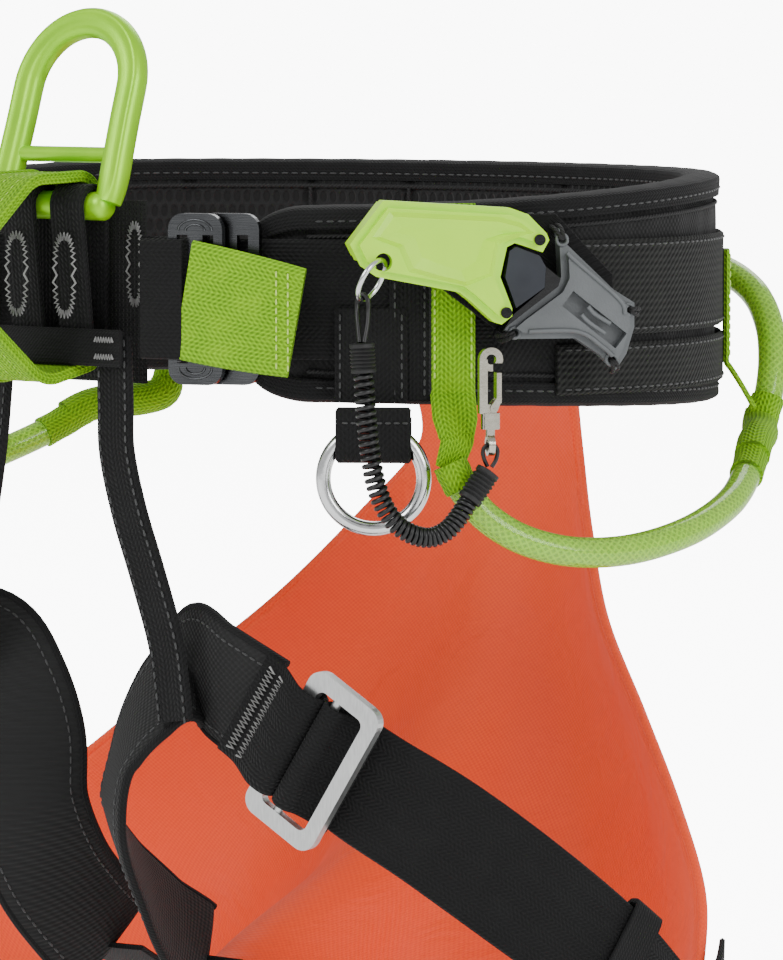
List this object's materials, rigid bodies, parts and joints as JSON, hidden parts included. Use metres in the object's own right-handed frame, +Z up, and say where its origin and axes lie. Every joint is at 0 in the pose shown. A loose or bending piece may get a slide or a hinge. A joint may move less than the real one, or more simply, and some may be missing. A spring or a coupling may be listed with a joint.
{
  "type": "tree climbing saddle",
  "caption": "Arborist climbing saddle: padded waist belt, tie-in ring, belay loop, gear loops, docked hand tool on a lanyard, leg loops and an orange seat panel.",
  "frame": {"origin": "middle of the waist opening, at mid-height of the belt", "axes": "+X to the wearer's left, +Y to the wearer's back, +Z up"},
  "size_m": [0.4134, 0.359, 0.4244],
  "materials": {
    "pack_cloth": "plain woven nylon, matt",
    "foam": "closed-cell foam, matt",
    "spacer_mesh": "knitted spacer mesh, matt",
    "black_webbing": "woven nylon webbing, matt",
    "pad_fabric": "padded woven nylon, matt",
    "lime_webbing": "woven webbing, matt",
    "lime_rope": "braided rope",
    "clear_tube": "clear extruded tube",
    "lime_aluminium": "anodised, satin",
    "buckle_steel": "polished plate",
    "polished_steel": "polished",
    "buckle_aluminium": "bead-blasted, satin",
    "grey_plastic": "moulded, fine texture",
    "gloss_black_plastic": "moulded, glossy",
    "lime_plastic": "moulded, satin",
    "smoky_plastic": "moulded, satin",
    "screw_steel": "blackened",
    "black_cord": "plastic-coated cord",
    "black_rubber": "moulded rubber",
    "nickel": "nickel plate",
    "seat_shell": "smooth coated sheet, satin"
  },
  "bodies": {
    "root": {"belt_cover": "pack_cloth", "belt_binding": "pack_cloth", "belt_foam_core": "foam", "belt_lining": "spacer_mesh", "tie_in_panel": "spacer_mesh", "waist_webbing": "black_webbing", "hip_webbing": "black_webbing", "front_webbing": "black_webbing", "tie_in_straps": "black_webbing", "lower_tie_in": "black_webbing", "buckle_fold_left": "black_webbing", "buckle_fold_right": "black_webbing", "dock_backer": "black_webbing", "leg_risers": "black_webbing", "leg_straps": "black_webbing", "strap_keepers": "black_webbing", "leg_pads": "pad_fabric", "belay_loop": "lime_webbing", "tail_left": "lime_webbing", "tail_right": "lime_webbing", "gear_tab_front": "lime_webbing", "gear_tab_rear": "lime_webbing", "buckle_rear_plate_left": "buckle_steel", "buckle_rear_plate_right": "buckle_steel", "dock_magnet": "polished_steel", "dock_plate": "grey_plastic", "dock_frame": "gloss_black_plastic", "cable_loop_lower": "black_cord", "lanyard_coil": "black_cord", "cuff_lower": "black_rubber", "snap_body": "nickel", "seat_panel": "seat_shell"},
    "anchor": {"anchor_ring": "lime_aluminium", "anchor_ring_rod": "lime_aluminium"},
    "hanger_left": {"ring_hanger_left": "black_webbing", "accessory_ring_left": "polished_steel"},
    "hanger_right": {"ring_hanger_right": "black_webbing", "accessory_ring_right": "polished_steel"},
    "buckle_left": {"buckle_front_plate_left": "buckle_steel"},
    "buckle_right": {"buckle_front_plate_right": "buckle_steel"},
    "leg_buckle_l": {"leg_buckle_left": "buckle_aluminium"},
    "leg_buckle_r": {"leg_buckle_right": "buckle_aluminium"},
    "gear_fl": {"gear_tube_front_left": "clear_tube", "gear_core_front_left": "lime_rope"},
    "gear_fr": {"gear_tube_front_right": "clear_tube", "gear_core_front_right": "lime_rope"},
    "gear_rl": {"gear_tube_rear_left": "clear_tube", "gear_core_rear_left": "lime_rope"},
    "gear_rr": {"gear_tube_rear_right": "clear_tube", "gear_core_rear_right": "lime_rope"},
    "tool": {"handle_shell": "lime_plastic", "handle_back": "lime_plastic", "handle_lens": "smoky_plastic", "handle_screws": "screw_steel", "handle_magnet": "polished_steel", "split_ring": "polished_steel", "cable_loop_upper": "black_cord", "cuff_upper": "black_rubber"},
    "snap_swivel_eye": {"snap_eye": "nickel"},
    "gate": {"snap_gate": "nickel"}
  },
  "joints": [
    {"name": "anchor_ring_swing", "type": "hinge", "parent": "root", "child": "anchor", "pos_m": [0, -0.149, 0.034], "axis": [1, 0, 0], "range_deg": [-10, 40]},
    {"name": "accessory_ring_swing_left", "type": "hinge", "parent": "root", "child": "hanger_left", "pos_m": [0.12362, -0.11153, -0.04], "axis": [-0.815, -0.5795, 0], "range_deg": [0, 12]},
    {"name": "accessory_ring_swing_right", "type": "hinge", "parent": "root", "child": "hanger_right", "pos_m": [-0.12362, -0.11153, -0.04], "axis": [-0.815, 0.5795, 0], "range_deg": [0, 60]},
    {"name": "belt_buckle_tilt_left", "type": "hinge", "parent": "root", "child": "buckle_left", "pos_m": [0.0629, -0.14004, 0], "axis": [0, 0, 1], "range_deg": [-6, 6]},
    {"name": "belt_buckle_tilt_right", "type": "hinge", "parent": "root", "child": "buckle_right", "pos_m": [-0.0629, -0.14004, 0], "axis": [0, 0, -1], "range_deg": [-6, 6]},
    {"name": "leg_buckle_lift_left", "type": "hinge", "parent": "root", "child": "leg_buckle_l", "pos_m": [0.1092, -0.14522, -0.16111], "axis": [-0.5244, -0.0629, -0.8491], "range_deg": [0, 35]},
    {"name": "leg_buckle_lift_right", "type": "hinge", "parent": "root", "child": "leg_buckle_r", "pos_m": [-0.1092, -0.14522, -0.16111], "axis": [-0.5244, 0.0629, 0.8491], "range_deg": [0, 35]},
    {"name": "gear_loop_front_left", "type": "hinge", "parent": "root", "child": "gear_fl", "pos_m": [0.14831, -0.09717, -0.06], "axis": [-0.1459, -0.9892, 0.0121], "range_deg": [-15, 0]},
    {"name": "gear_loop_front_right", "type": "hinge", "parent": "root", "child": "gear_fr", "pos_m": [-0.14831, -0.09717, -0.06], "axis": [-0.1459, 0.9892, -0.0121], "range_deg": [-15, 50]},
    {"name": "gear_loop_rear_left", "type": "hinge", "parent": "root", "child": "gear_rl", "pos_m": [0.15431, 0.09677, -0.056], "axis": [0.8132, -0.4065, -0.4165], "range_deg": [-5, 18]},
    {"name": "gear_loop_rear_right", "type": "hinge", "parent": "root", "child": "gear_rr", "pos_m": [-0.15431, 0.09677, -0.056], "axis": [0.8132, 0.4065, 0.4165], "range_deg": [-5, 18]},
    {"name": "tool_release", "type": "slide", "parent": "root", "child": "tool", "axis": [-0.6428, -0.766, 0], "range_m": [0, 0.035]},
    {"name": "snap_swivel", "type": "hinge", "parent": "root", "child": "snap_swivel_eye", "pos_m": [0.16568, -0.09536, -0.047], "axis": [0, 0, 1], "range_deg": [-25, 25]},
    {"name": "snap_gate_open", "type": "hinge", "parent": "root", "child": "gate", "pos_m": [0.16632, -0.0946, -0.0388], "axis": [0.766, -0.6428, 0], "range_deg": [0, 12], "stiffness_Nm_per_rad": 0.002}
  ]
}
